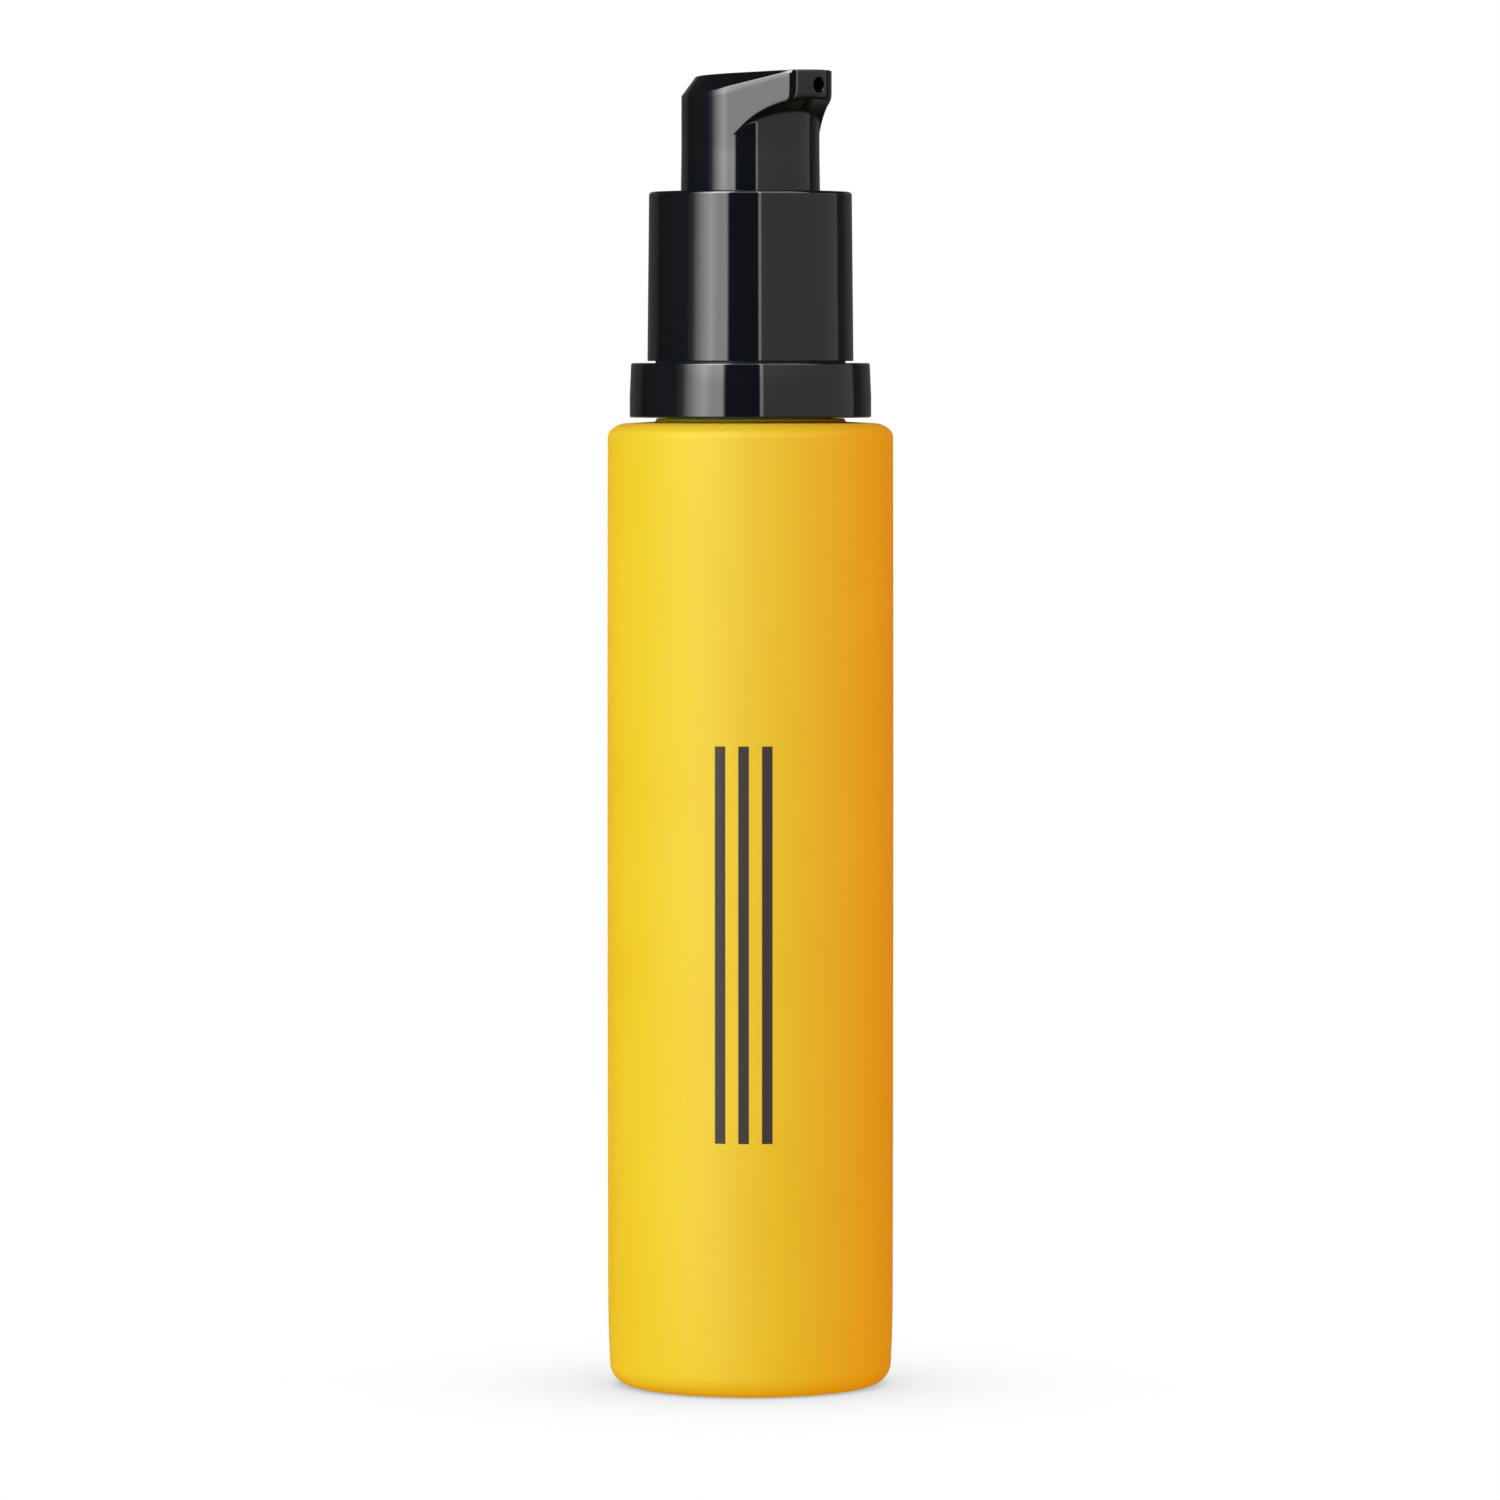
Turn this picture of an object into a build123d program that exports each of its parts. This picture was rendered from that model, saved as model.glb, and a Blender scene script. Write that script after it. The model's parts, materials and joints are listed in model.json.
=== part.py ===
"""Double-wall airless pump bottle for liquid foundation, shown without its overcap.

Millimetres, +Z up. The origin is the centre of the base, on the surface the bottle stands on.
The actuator's beak points along -Y. Heights named ..._z are measured up from the base.
"""

from build123d import *
from math import acos, atan2, cos, degrees, radians, sin, tan
import os

os.makedirs("parts", exist_ok=True)

# ---------------------------------------------------------------------------
# Driving dimensions
# ---------------------------------------------------------------------------

# Outer shell
body_r = 15.0                   # widest, at mid height
body_r_low = 14.97              # just above the heel blend
body_r_top = 14.94              # under the shoulder corner
body_mid_z = 50.0
heel_r = 2.3
heel_turn = 87.0                # degrees of the tight heel arc
heel_blend_r = 149.0            # long arc that carries the heel into the side
shoulder_start_z = 99.43
shoulder_r = 1.1                # tight part of the corner between side and shoulder
shoulder_turn = 45.0
shoulder_blend_r = 2.4          # wider arc that carries the corner on to the shoulder
shoulder_rise = 3.0             # degrees, from the corner inwards to the mouth
shell_bore_r = 12.1
shell_roof_z = 98.7             # underside of the shoulder
mouth_r = 9.3
key_count = 4                   # keys that stop the vessel turning in the shell
key_width = 1.6
key_depth = 0.6
key_height = 1.2
key_gap = 0.2                   # play of each key in its notch
overlap = 0.1                   # how far ribs, nibs and threads are sunk into their walls

# Base plug
plug_clearance = 0.05
plug_bead_z = 2.0
plug_bead = 0.15                # how far the snap bead stands out
plug_rim_z = 4.0                # the vessel stands on this rim
plug_floor_z = 2.6
plug_recess_z = 0.9
plug_recess_r = 9.2
plug_rim_r = 10.6
vent_r = 0.8
foot_notch_count = 3
foot_notch_width = 1.6
foot_notch_depth = 0.3

# Inner vessel and its neck
vessel_r = 11.8
vessel_wall = 1.0
vessel_bore_r = vessel_r - vessel_wall
vessel_roof_z = 97.3
neck_base_r = 9.2
neck_base_z = 101.25
neck_r = 7.95
neck_bore_r = 5.6
neck_top_z = 110.2
thread_pitch = 3.0
thread_turns = 1.5
thread_start_z = 103.5
thread_depth = 0.85
thread_root_width = 1.3
thread_crest_width = 0.5

# Follower piston, at the bottom of its travel
follower_clearance = 0.03
follower_base_z = 4.8
follower_web_z = 6.4
follower_web = 1.1
follower_top_z = 15.0
follower_wall = 0.8
follower_lip = 1.5              # height of each sealing lip
follower_relief = 0.35          # how far the skirt stands back between the lips

# Ring that the overcap grips
ring_r = 12.64
ring_r_top = 12.49
ring_base_z = 101.5
ring_band_z = 103.7             # the wall is cylindrical up to here, tapered above
ring_top_z = 107.2
ring_wall = 1.2
ring_hub_r = 10.0
ring_hub_wall = 1.0
ring_hub_base_z = 101.15        # the hub reaches lower than the wall, which hides the neck
ring_edge = 0.22
ring_rib_count = 12
ring_rib = 0.8

# Closure
closure_r = 9.95
closure_bore_r = 9.0
closure_base_z = 101.9
closure_top_z = 113.0
closure_web = 1.2
closure_hole_r = 4.9
snap_z = 104.2                  # snap bead that holds the ring
snap = 0.12

# Collar sleeve
collar_base_z = 107.4
collar_top_z = 125.05
collar_r_base = 10.78
collar_r_top = 10.605
collar_bore_r = 9.97
collar_web = 1.0
collar_hole_r = 7.65
collar_edge = 0.35

# Pump housing
gasket_thickness = 0.8
gasket_r = 7.8
flange_thickness = 0.8
flange_r = 7.7
cylinder_r = 3.6                # pump bore
cylinder_outer_r = 4.6
guide_seat_r = 4.2
guide_seat_z = 109.2
tower_r = 4.8
housing_step = 0.6              # outside steps lie this far below the ledges inside
housing_slope = 1.0             # height over which an outside step widens
spring_seat_z = 93.0
chamber_r = 1.6                 # ball chamber
chamber_outer_r = 3.0
seat_top_z = 89.4
seat_low_z = 88.6
inlet_r = 0.9
inlet_outer_r = 2.2
inlet_z = 85.5
inlet_slot = 0.8
nib_count = 3
nib_low_z = 91.0
nib_height = 0.8
nib_width = 0.55
nib_reach_r = 1.05
housing_rib_count = 6
housing_rib = 0.7
housing_rib_low_z = 104.0
housing_rib_r = 5.4

# Inlet ball
ball_r = 1.25
ball_gap = 0.02

# Return spring
wire_r = 0.275
coil_r = 2.4
coil_turns = 5

# Piston rod
rod_head_r = 2.9
rod_head_low_z = 101.9
rod_head_top_z = 103.2
rod_spigot_r = 1.4
rod_spigot_low_z = 99.7
rod_shank_r = 1.05
rod_shank_top_z = 109.95
rod_flat = 1.3                  # across the two flats that let the liquid past
rod_land = 0.4                  # round length left between the head and the flats
rod_chamfer = 0.3

# Pump piston
piston_r = 3.57
piston_bore_r = 1.85
piston_sleeve_r = 2.35
piston_sleeve_low_z = 103.23
piston_sleeve_top_z = 109.0
piston_skirt_r = 3.05           # inside of the outer skirt
piston_skirt_low_z = 103.5
piston_skirt_top_z = 108.2
piston_web_z = 105.2
piston_web = 0.9
piston_relief = 0.2
piston_lip = 0.9

# Stem
stem_r = 1.8
stem_bore_r = 0.9
stem_low_bore_r = 1.1
stem_low_z = 106.0
stem_step_z = 110.0
stem_top_z = 130.4
stem_collar_r = 2.6
stem_collar_low_z = 109.8
stem_collar_top_z = 112.35

# Stem guide
guide_bore_r = 1.86
guide_skirt_r = 3.2             # inside of the skirt
guide_web_z = 112.4             # underside that the stem's collar stops against
guide_top_z = 113.6
guide_flange_r = 4.75

# Actuator
button_r = 7.22
button_r_low = 7.40
button_low_z = 117.7
button_straight_z = 129.0       # tapered below, straight above
button_cavity_r = 6.2
button_cavity_z = 133.0
socket_outer_r = 3.0
socket_low_z = 118.3
socket_lead = 0.3
button_rib_count = 4
button_rib = 0.8
button_rib_low_z = 123.0
button_top_z = 137.55           # at the tip of the beak
top_tilt = 2.1                  # degrees, falling towards the back
bevel_angle = 72.0              # from the beak, where the bevel starts to rise along the flank
bevel_start_z = 135.5
bevel_end_drop = 0.2            # how far below the top the bevel ends at the beak
bevel_tilt = 4.0                # degrees, falling towards the back from there
bevel_in = 1.34
bevel_up = 1.83
beak_low_z = 129.0
beak_nose_r = 4.0
beak_nose_centre = 6.65
beak_corner_r = 2.0
beak_flank_angle = 60.0         # the flank's normal, away from the beak's direction
arch_r = 11.6                   # concave underside of the beak
arch_centre = 12.63
arch_centre_z = 123.1
outlet_r = 0.73
outlet_z = 135.95

# ---------------------------------------------------------------------------
# Shared planes and profiles
# ---------------------------------------------------------------------------

# Plane through the axis in which x runs along the beak and y runs up.
beak_side = Plane(origin=(0, 0, 0), x_dir=(0, -1, 0), z_dir=(-1, 0, 0))


def beak_plan(height):
    """Horizontal plane in which x runs along the beak and y across it."""
    return Plane(origin=(0, 0, height), x_dir=(0, -1, 0), z_dir=(0, 0, 1))


def in_beak_frame(along, across, height):
    """Point at a distance along and across the beak, at a height."""
    return Vector(across, -along, height)


def thread_section(outward):
    """Corners of a thread ridge's trapezoid, rooted on the local origin and pointing in or out."""
    root = -overlap * outward
    crest = thread_depth * outward
    return [
        (root, -thread_root_width / 2),
        (0, -thread_root_width / 2),
        (crest, -thread_crest_width / 2),
        (crest, thread_crest_width / 2),
        (0, thread_root_width / 2),
        (root, thread_root_width / 2),
    ]


# ---------------------------------------------------------------------------
# Outer shell: thick yellow body, open below, mouth in the shoulder
# ---------------------------------------------------------------------------

heel_width = heel_r * sin(radians(heel_turn))
blend_angle = 90 - heel_turn
blend_width = heel_blend_r * (1 - cos(radians(blend_angle)))
foot_r = body_r_low - heel_width - blend_width

with BuildPart() as outer_shell:
    with BuildSketch(Plane.XZ):
        with BuildLine():
            heel = JernArc((foot_r, 0), (1, 0), heel_r, heel_turn)
            blend = JernArc(heel @ 1, heel % 1, heel_blend_r, blend_angle)
            side = ThreePointArc(blend @ 1, (body_r, body_mid_z), (body_r_top, shoulder_start_z))
            corner = JernArc(side @ 1, (0, 1), shoulder_r, shoulder_turn)
            shoulder = JernArc(
                corner @ 1, corner % 1, shoulder_blend_r, 90 - shoulder_rise - shoulder_turn
            )
            rise = ((shoulder @ 1).X - mouth_r) * tan(radians(shoulder_rise))
            Polyline(
                shoulder @ 1,
                (mouth_r, (shoulder @ 1).Y + rise),
                (mouth_r, shell_roof_z),
                (shell_bore_r, shell_roof_z),
                (shell_bore_r, plug_bead_z + 2 * plug_bead),
                (shell_bore_r + plug_bead, plug_bead_z + plug_bead),
                (shell_bore_r + plug_bead, plug_bead_z - plug_bead),
                (shell_bore_r, plug_bead_z - 2 * plug_bead),
                (shell_bore_r, 0),
                (foot_r, 0),
            )
        make_face()
    revolve(axis=Axis.Z)
    # Notches in the mouth that the vessel's keys sit in.
    with BuildSketch(Plane.XY.offset(shell_roof_z)):
        with PolarLocations(mouth_r, key_count):
            Rectangle(2 * key_depth, key_width + key_gap)
    extrude(amount=key_height + key_gap, mode=Mode.SUBTRACT)

# ---------------------------------------------------------------------------
# Base plug: snaps into the shell from below and carries the vessel
# ---------------------------------------------------------------------------

plug_r = shell_bore_r - plug_clearance

with BuildPart() as base_plug:
    with BuildSketch(Plane.XZ):
        with BuildLine():
            Polyline(
                (0, plug_recess_z),
                (plug_recess_r, plug_recess_z),
                (plug_recess_r + plug_recess_z / 2, 0),
                (plug_r, 0),
                (plug_r, plug_bead_z - 2 * plug_bead),
                (plug_r + plug_bead, plug_bead_z - plug_bead / 2),
                (plug_r + plug_bead, plug_bead_z + plug_bead / 2),
                (plug_r, plug_bead_z + 2 * plug_bead),
                (plug_r, plug_rim_z),
                (plug_rim_r, plug_rim_z),
                (plug_rim_r, plug_floor_z),
                (0, plug_floor_z),
                close=True,
            )
        make_face()
    revolve(axis=Axis.Z)
    # Air vent, and notches that let air reach it while the bottle stands.
    with Locations((0, 0, plug_floor_z)):
        Hole(vent_r)
    with BuildSketch():
        with PolarLocations((plug_recess_r + plug_r) / 2, foot_notch_count):
            Rectangle(plug_r, foot_notch_width)
    extrude(amount=foot_notch_depth, mode=Mode.SUBTRACT)

# ---------------------------------------------------------------------------
# Inner vessel: holds the liquid, with a threaded neck
# ---------------------------------------------------------------------------

with BuildPart() as inner_vessel:
    with BuildSketch(Plane.XZ):
        with BuildLine():
            Polyline(
                (vessel_bore_r, plug_rim_z),
                (vessel_r, plug_rim_z),
                (vessel_r, shell_roof_z),
                (neck_base_r, shell_roof_z),
                (neck_base_r, neck_base_z),
                (neck_r, neck_base_z),
                (neck_r, neck_top_z),
                (neck_bore_r, neck_top_z),
                (neck_bore_r, vessel_roof_z + vessel_wall),
                (neck_bore_r + vessel_wall, vessel_roof_z),
                (vessel_bore_r - vessel_wall, vessel_roof_z),
                (vessel_bore_r, vessel_roof_z - vessel_wall),
                close=True,
            )
        make_face()
    revolve(axis=Axis.Z)
    with BuildSketch(Plane.XY.offset(shell_roof_z)):
        with PolarLocations(neck_base_r, key_count):
            Rectangle(2 * (key_depth - key_gap), key_width)
    extrude(amount=key_height)
    with BuildLine() as neck_thread:
        Helix(thread_pitch, thread_pitch * thread_turns, neck_r, center=(0, 0, thread_start_z))
    with BuildSketch(Plane(neck_thread.line @ 0, x_dir=(1, 0, 0), z_dir=neck_thread.line % 0)):
        with BuildLine():
            Polyline(*thread_section(outward=1), close=True)
        make_face()
    sweep(path=neck_thread.line, is_frenet=True)

# ---------------------------------------------------------------------------
# Follower piston: rises under the liquid
# ---------------------------------------------------------------------------

follower_r = vessel_bore_r - follower_clearance
follower_skirt_r = follower_r - follower_wall

with BuildPart() as follower_piston:
    with BuildSketch(Plane.XZ):
        with BuildLine():
            Polyline(
                (0, follower_web_z),
                (follower_skirt_r - follower_relief, follower_web_z),
                (follower_skirt_r, follower_base_z),
                (follower_r, follower_base_z),
                (follower_r, follower_base_z + follower_lip),
                (follower_r - follower_relief, follower_base_z + follower_lip + follower_relief),
                (follower_r - follower_relief, follower_top_z - follower_lip - follower_relief),
                (follower_r, follower_top_z - follower_lip),
                (follower_r, follower_top_z),
                (follower_skirt_r, follower_top_z),
                (follower_skirt_r - follower_relief, follower_top_z - follower_lip),
                (follower_skirt_r - follower_relief, follower_web_z + follower_web),
                (0, follower_web_z + follower_web),
                close=True,
            )
        make_face()
    revolve(axis=Axis.Z)

# ---------------------------------------------------------------------------
# Cap ring: black ring on the shoulder, moulded as a channel with ribs
# ---------------------------------------------------------------------------

with BuildPart() as cap_ring:
    with BuildSketch(Plane.XZ):
        with BuildLine():
            Polyline(
                (ring_hub_r, ring_hub_base_z),
                (ring_hub_r + ring_hub_wall, ring_hub_base_z),
                (ring_hub_r + ring_hub_wall, ring_top_z - ring_wall),
                (ring_r - ring_wall, ring_top_z - ring_wall),
                (ring_r - ring_wall, ring_base_z),
                (ring_r, ring_base_z),
                (ring_r, ring_band_z),
                (ring_r_top, ring_top_z),
                (ring_hub_r, ring_top_z),
                (ring_hub_r, snap_z + 2 * snap),
                (ring_hub_r + snap, snap_z + snap),
                (ring_hub_r + snap, snap_z - snap),
                (ring_hub_r, snap_z - 2 * snap),
                close=True,
            )
        make_face()
    revolve(axis=Axis.Z)
    rim_edges = cap_ring.edges().filter_by(GeomType.CIRCLE)
    fillet(rim_edges.group_by(SortBy.RADIUS)[-1].sort_by(Axis.Z)[0], ring_edge)
    fillet(cap_ring.edges().group_by(Axis.Z)[-1].sort_by(SortBy.RADIUS)[-1], ring_edge)
    with BuildSketch(Plane.XY.offset(ring_band_z)):
        with PolarLocations((ring_hub_r + ring_hub_wall + ring_r - ring_wall) / 2, ring_rib_count):
            Rectangle(ring_r - ring_wall - ring_hub_r - ring_hub_wall + 2 * overlap, ring_rib)
    extrude(amount=ring_top_z - ring_wall - ring_band_z)

# ---------------------------------------------------------------------------
# Closure: screw cap that clamps the pump on the neck
# ---------------------------------------------------------------------------

with BuildPart() as closure:
    with BuildSketch(Plane.XZ):
        with BuildLine():
            Polyline(
                (closure_bore_r, closure_base_z),
                (closure_r, closure_base_z),
                (closure_r, snap_z - 1.5 * snap),
                (closure_r + snap, snap_z - snap / 2),
                (closure_r + snap, snap_z + snap / 2),
                (closure_r, snap_z + 1.5 * snap),
                (closure_r, closure_top_z),
                (closure_hole_r, closure_top_z),
                (closure_hole_r, closure_top_z - closure_web),
                (closure_bore_r, closure_top_z - closure_web),
                close=True,
            )
        make_face()
    revolve(axis=Axis.Z)
    with BuildLine() as closure_thread:
        Helix(
            thread_pitch,
            thread_pitch * thread_turns,
            closure_bore_r,
            center=(0, 0, thread_start_z + thread_pitch / 2),
        )
    with BuildSketch(Plane(closure_thread.line @ 0, x_dir=(1, 0, 0), z_dir=closure_thread.line % 0)):
        with BuildLine():
            Polyline(*thread_section(outward=-1), close=True)
        make_face()
    sweep(path=closure_thread.line, is_frenet=True)

# ---------------------------------------------------------------------------
# Collar sleeve: black cover of the closure, with the hole the actuator passes
# ---------------------------------------------------------------------------

with BuildPart() as collar_sleeve:
    with BuildSketch(Plane.XZ):
        with BuildLine():
            Polyline(
                (collar_bore_r, collar_base_z),
                (collar_r_base, collar_base_z),
                (collar_r_top, collar_top_z),
                (collar_hole_r, collar_top_z),
                (collar_hole_r, collar_top_z - collar_web),
                (collar_bore_r, collar_top_z - collar_web),
                close=True,
            )
        make_face()
    revolve(axis=Axis.Z)
    fillet(collar_sleeve.edges().group_by(Axis.Z)[-1].sort_by(SortBy.RADIUS)[-1], collar_edge)
    fillet(collar_sleeve.edges().group_by(Axis.Z)[-1].sort_by(SortBy.RADIUS)[0], collar_edge / 2)

# ---------------------------------------------------------------------------
# Neck gasket
# ---------------------------------------------------------------------------

with BuildPart() as neck_gasket:
    with BuildSketch(Plane.XY.offset(neck_top_z)):
        Circle(gasket_r)
        Circle(neck_bore_r, mode=Mode.SUBTRACT)
    extrude(amount=gasket_thickness)

# ---------------------------------------------------------------------------
# Pump housing: cylinder, spring seat, ball chamber and inlet
# ---------------------------------------------------------------------------

flange_low_z = neck_top_z + gasket_thickness
flange_top_z = flange_low_z + flange_thickness

with BuildPart() as pump_housing:
    with BuildSketch(Plane.XZ):
        with BuildLine():
            Polyline(
                (inlet_r, inlet_z),
                (inlet_outer_r, inlet_z),
                (inlet_outer_r, seat_low_z - housing_step),
                (chamber_outer_r, seat_low_z),
                (chamber_outer_r, spring_seat_z - housing_step - housing_slope),
                (cylinder_outer_r, spring_seat_z - housing_step),
                (cylinder_outer_r, guide_seat_z - housing_slope),
                (tower_r, guide_seat_z),
                (tower_r, flange_low_z),
                (flange_r, flange_low_z),
                (flange_r, flange_top_z),
                (tower_r, flange_top_z),
                (tower_r, closure_top_z),
                (guide_seat_r, closure_top_z),
                (guide_seat_r, guide_seat_z),
                (cylinder_r, guide_seat_z),
                (cylinder_r, spring_seat_z),
                (chamber_r, spring_seat_z),
                (chamber_r, seat_top_z),
                (inlet_r, seat_low_z),
                close=True,
            )
        make_face()
    revolve(axis=Axis.Z)
    # Cross slots keep the inlet open when the follower comes up under it.
    with BuildSketch(Plane.XY.offset(inlet_z)):
        Rectangle(2 * chamber_outer_r, inlet_slot)
        Rectangle(inlet_slot, 2 * chamber_outer_r)
    extrude(amount=inlet_slot, mode=Mode.SUBTRACT)
    # Nibs that keep the ball in its chamber.
    with BuildSketch(Plane.XY.offset(nib_low_z)):
        with PolarLocations((nib_reach_r + chamber_r) / 2 + overlap, nib_count):
            Rectangle(chamber_r - nib_reach_r + 2 * overlap, nib_width)
    extrude(amount=nib_height)
    # Ribs that centre the cylinder in the neck.
    with BuildSketch(Plane.XY.offset(housing_rib_low_z)):
        with PolarLocations((cylinder_outer_r + housing_rib_r) / 2 - overlap, housing_rib_count):
            Rectangle(housing_rib_r - cylinder_outer_r + 2 * overlap, housing_rib)
    extrude(amount=flange_low_z - housing_rib_low_z)

# ---------------------------------------------------------------------------
# Inlet ball, resting on its conical seat
# ---------------------------------------------------------------------------

seat_slope = atan2(seat_top_z - seat_low_z, chamber_r - inlet_r)
ball_z = seat_low_z + (ball_r + ball_gap - inlet_r * sin(seat_slope)) / cos(seat_slope)

with BuildPart() as inlet_ball:
    with Locations((0, 0, ball_z)):
        Sphere(ball_r)

# ---------------------------------------------------------------------------
# Return spring: open coils between two closed end coils
# ---------------------------------------------------------------------------

coil_low_z = spring_seat_z + wire_r
coil_height = rod_head_low_z - spring_seat_z - 2 * wire_r

with BuildPart() as return_spring:
    with BuildLine() as coil:
        Helix(coil_height / coil_turns, coil_height, coil_r, center=(0, 0, coil_low_z))
    with BuildSketch(Plane(coil.line @ 0, x_dir=(1, 0, 0), z_dir=coil.line % 0)):
        Circle(wire_r)
    sweep(path=coil.line, is_frenet=True)
    with BuildSketch(Plane.XZ):
        with Locations((coil_r, coil_low_z), (coil_r, coil_low_z + coil_height)):
            Circle(wire_r)
    revolve(axis=Axis.Z)

# ---------------------------------------------------------------------------
# Piston rod: outlet valve head, spring spigot and flatted shank
# ---------------------------------------------------------------------------

with BuildPart() as piston_rod:
    with BuildSketch(Plane.XZ):
        with BuildLine():
            Polyline(
                (0, rod_spigot_low_z),
                (rod_spigot_r - rod_chamfer, rod_spigot_low_z),
                (rod_spigot_r, rod_spigot_low_z + 2 * rod_chamfer),
                (rod_spigot_r, rod_head_low_z),
                (rod_head_r, rod_head_low_z),
                (rod_head_r, rod_head_top_z),
                (rod_shank_r, rod_head_top_z),
                (rod_shank_r, rod_shank_top_z - rod_chamfer),
                (rod_shank_r - rod_chamfer, rod_shank_top_z),
                (0, rod_shank_top_z),
                close=True,
            )
        make_face()
    revolve(axis=Axis.Z)
    with BuildSketch(Plane.XY.offset(rod_head_top_z + rod_land)):
        with Locations((0, rod_flat / 2 + rod_shank_r), (0, -rod_flat / 2 - rod_shank_r)):
            Rectangle(4 * rod_shank_r, 2 * rod_shank_r)
    extrude(until=Until.LAST, mode=Mode.SUBTRACT)

# ---------------------------------------------------------------------------
# Pump piston: outer lips seal the cylinder, the sleeve slides on the stem
# ---------------------------------------------------------------------------

with BuildPart() as pump_piston:
    with BuildSketch(Plane.XZ):
        with BuildLine():
            Polyline(
                (piston_bore_r, piston_sleeve_low_z),
                (piston_sleeve_r, piston_sleeve_low_z),
                (piston_sleeve_r, piston_web_z),
                (piston_skirt_r, piston_web_z),
                (piston_skirt_r, piston_skirt_low_z),
                (piston_r, piston_skirt_low_z),
                (piston_r, piston_skirt_low_z + piston_lip),
                (piston_r - piston_relief, piston_skirt_low_z + piston_lip + piston_relief),
                (piston_r - piston_relief, piston_skirt_top_z - piston_lip - piston_relief),
                (piston_r, piston_skirt_top_z - piston_lip),
                (piston_r, piston_skirt_top_z),
                (piston_skirt_r, piston_skirt_top_z),
                (piston_skirt_r, piston_web_z + piston_web),
                (piston_sleeve_r, piston_web_z + piston_web),
                (piston_sleeve_r, piston_sleeve_top_z),
                (piston_bore_r, piston_sleeve_top_z),
                close=True,
            )
        make_face()
    revolve(axis=Axis.Z)

# ---------------------------------------------------------------------------
# Stem: hollow, with the collar that stops its travel and pushes the piston
# ---------------------------------------------------------------------------

with BuildPart() as stem:
    with BuildSketch(Plane.XZ):
        with BuildLine():
            Polyline(
                (stem_low_bore_r, stem_low_z),
                (stem_r, stem_low_z),
                (stem_r, stem_collar_low_z),
                (stem_collar_r, stem_collar_low_z),
                (stem_collar_r, stem_collar_top_z),
                (stem_r, stem_collar_top_z),
                (stem_r, stem_top_z),
                (stem_bore_r, stem_top_z),
                (stem_bore_r, stem_step_z),
                (stem_low_bore_r, stem_step_z),
                close=True,
            )
        make_face()
    revolve(axis=Axis.Z)

# ---------------------------------------------------------------------------
# Stem guide: cap of the housing
# ---------------------------------------------------------------------------

with BuildPart() as stem_guide:
    with BuildSketch(Plane.XZ):
        with BuildLine():
            Polyline(
                (guide_skirt_r, guide_seat_z),
                (guide_seat_r, guide_seat_z),
                (guide_seat_r, closure_top_z),
                (guide_flange_r, closure_top_z),
                (guide_flange_r, guide_top_z),
                (guide_bore_r, guide_top_z),
                (guide_bore_r, guide_web_z),
                (guide_skirt_r, guide_web_z),
                close=True,
            )
        make_face()
    revolve(axis=Axis.Z)

# ---------------------------------------------------------------------------
# Actuator: button with a beak, hollow below, socket for the stem
# ---------------------------------------------------------------------------

beak_reach = beak_nose_centre + beak_nose_r
flank_normal = Vector(cos(radians(beak_flank_angle)), sin(radians(beak_flank_angle)))
flank_start = flank_normal * button_r
# The corner arc is tangent to the flank and, from inside, to the nose arc.
nose_to_flank = button_r - beak_nose_centre * flank_normal.X
corner_offset = degrees(acos((nose_to_flank - beak_corner_r) / (beak_nose_r - beak_corner_r)))
corner_start = beak_flank_angle - corner_offset
corner_centre = Vector(beak_nose_centre, 0) + Vector(
    cos(radians(corner_start)), sin(radians(corner_start))
) * (beak_nose_r - beak_corner_r)
flank_end = corner_centre + flank_normal * beak_corner_r

top_plane = Plane(
    origin=in_beak_frame(beak_reach, 0, button_top_z),
    x_dir=(1, 0, 0),
    z_dir=(0, tan(radians(top_tilt)), 1),
)
# The bevel is a plane along each flank and, behind them, a cone that leans back with the top.
bevel_start = Vector(cos(radians(bevel_angle)), sin(radians(bevel_angle))) * button_r
bevel_corner = in_beak_frame(bevel_start.X, bevel_start.Y, bevel_start_z)
bevel_end_z = button_top_z - (beak_reach - flank_end.X) * tan(radians(top_tilt)) - bevel_end_drop
bevel_edge = in_beak_frame(flank_end.X, flank_end.Y, bevel_end_z) - bevel_corner
bevel_inward = in_beak_frame(-bevel_in * flank_normal.X, -bevel_in * flank_normal.Y, bevel_up)
bevel_plane = Plane(origin=bevel_corner, x_dir=bevel_edge, z_dir=bevel_inward.cross(bevel_edge))
bevel_lean = tan(radians(bevel_tilt))
bevel_side = Plane(
    origin=(0, 0, bevel_start_z - bevel_start.X * bevel_lean),
    x_dir=(0, -1, bevel_lean),
    z_dir=(-1, 0, 0),
)

with BuildPart() as beak:
    with BuildSketch(beak_plan(beak_low_z)):
        with BuildLine():
            nose = CenterArc((beak_nose_centre, 0), beak_nose_r, 0, corner_start)
            corner = CenterArc(corner_centre, beak_corner_r, corner_start, corner_offset)
            Line(corner @ 1, flank_start)
            CenterArc((0, 0), button_r, beak_flank_angle, bevel_angle - beak_flank_angle)
            Polyline(bevel_start, (0, 0), nose @ 0)
        make_face()
    extrude(amount=button_top_z - beak_low_z)
    with BuildSketch(beak_side):
        with Locations((arch_centre, arch_centre_z)):
            Circle(arch_r)
    extrude(amount=button_r, both=True, mode=Mode.SUBTRACT)
    split(bisect_by=bevel_plane, keep=Keep.BOTTOM)
    mirror(about=Plane.YZ)

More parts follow.
